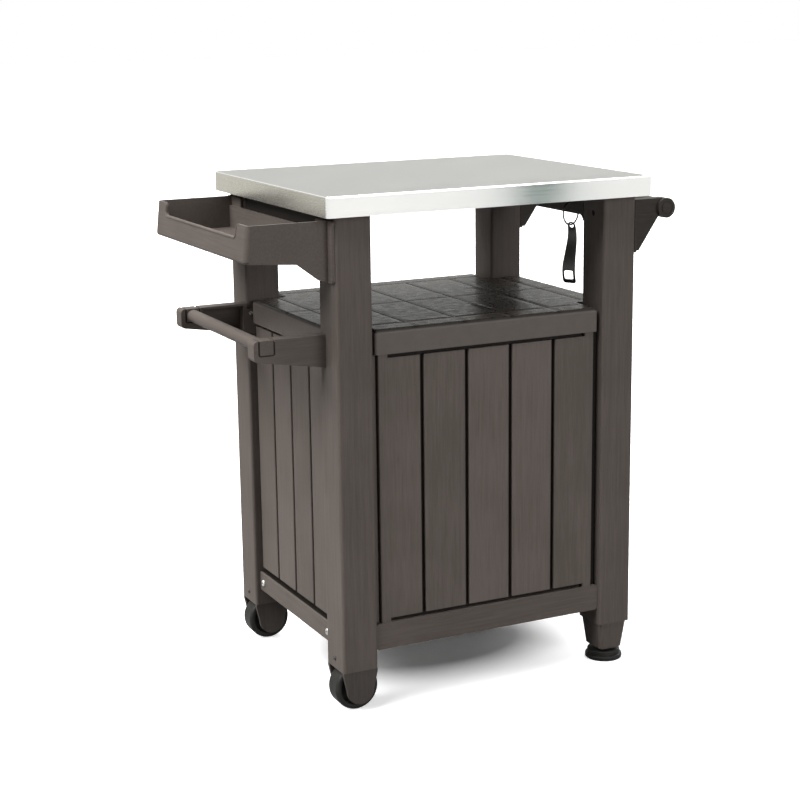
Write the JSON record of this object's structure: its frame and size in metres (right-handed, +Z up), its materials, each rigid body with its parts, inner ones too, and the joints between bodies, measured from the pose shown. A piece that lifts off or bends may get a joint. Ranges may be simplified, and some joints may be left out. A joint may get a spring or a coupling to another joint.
{
  "type": "grill cart",
  "caption": "Rolling grill cart with a steel worktop on a dark resin frame, a tiled counter, a plank cabinet, a hanging tray, a towel bar, a handle and a bottle opener.",
  "frame": {"origin": "On the floor, under the middle of the overall box from the tray's lip to the handle", "axes": "+X from the tray to the handle, +Y from the fixed plank panel to the doors, +Z up"},
  "size_m": [0.832, 0.514, 0.9],
  "materials": {
    "steel_top": "fine brushed, satin",
    "resin": "matte, faint wood grain",
    "black_plastic": "matte",
    "fastener_steel": "zinc-plated, bright",
    "opener_steel": "satin"
  },
  "bodies": {
    "base": {"steel_top": "steel_top", "top_deck": "resin", "left_apron": "resin", "right_apron": "resin", "front_left_post": "resin", "front_right_post": "resin", "back_left_post": "resin", "back_right_post": "resin", "counter": "resin", "front_panel": "resin", "left_panel": "resin", "right_panel": "resin", "front_rail": "resin", "back_rail": "resin", "left_rail": "resin", "right_rail": "resin", "rail_lugs": "resin", "rail_bolts": "fastener_steel", "floor_panel": "resin", "door_stop": "resin", "spice_tray": "resin", "front_towel_arm": "resin", "back_towel_arm": "resin", "arm_screws": "fastener_steel", "front_handle_bracket": "resin", "back_handle_bracket": "resin", "handle_bar": "resin", "bracket_screws": "fastener_steel", "front_wheel_fork": "resin", "back_wheel_fork": "resin", "plug_screws": "fastener_steel", "front_axle": "fastener_steel", "back_axle": "fastener_steel", "front_leg_end": "resin", "back_leg_end": "resin"},
    "front_wheel": {"front_wheel": "black_plastic"},
    "back_wheel": {"back_wheel": "black_plastic"},
    "left_door": {"left_door": "resin"},
    "right_door": {"right_door": "resin"},
    "front_foot": {"front_foot": "black_plastic"},
    "back_foot": {"back_foot": "black_plastic"},
    "towel_bar": {"towel_bar": "resin"},
    "opener_ring": {"opener_ring": "fastener_steel"},
    "bottle_opener": {"bottle_opener": "opener_steel"}
  },
  "joints": [
    {"name": "front_wheel_spin", "type": "hinge", "parent": "base", "child": "front_wheel", "pos_m": [-0.231, -0.202, 0.04], "axis": [0, 1, 0], "continuous": true},
    {"name": "back_wheel_spin", "type": "hinge", "parent": "base", "child": "back_wheel", "pos_m": [-0.231, 0.202, 0.04], "axis": [0, 1, 0], "continuous": true},
    {"name": "left_door_swing", "type": "hinge", "parent": "base", "child": "left_door", "pos_m": [-0.181, 0.221, 0.39], "axis": [0, 0, 1], "range_deg": [0, 110]},
    {"name": "right_door_swing", "type": "hinge", "parent": "base", "child": "right_door", "pos_m": [0.235, 0.221, 0.39], "axis": [0, 0, -1], "range_deg": [0, 110]},
    {"name": "front_foot_level", "type": "slide", "parent": "base", "child": "front_foot", "axis": [0, 0, -1], "range_m": [0, 0.012]},
    {"name": "back_foot_level", "type": "slide", "parent": "base", "child": "back_foot", "axis": [0, 0, -1], "range_m": [0, 0.012]},
    {"name": "towel_bar_lift", "type": "slide", "parent": "base", "child": "towel_bar", "axis": [0, 0, 1], "range_m": [0, 0.045]},
    {"name": "opener_ring_swing", "type": "hinge", "parent": "base", "child": "opener_ring", "pos_m": [0.255, -0.122, 0.8478], "axis": [0.9397, 0.342, 0], "range_deg": [-6, 30]},
    {"name": "bottle_opener_swing", "type": "hinge", "parent": "opener_ring", "child": "bottle_opener", "pos_m": [0.255, -0.122, 0.8048], "axis": [0.9397, 0.342, 0], "range_deg": [-6, 40]}
  ]
}
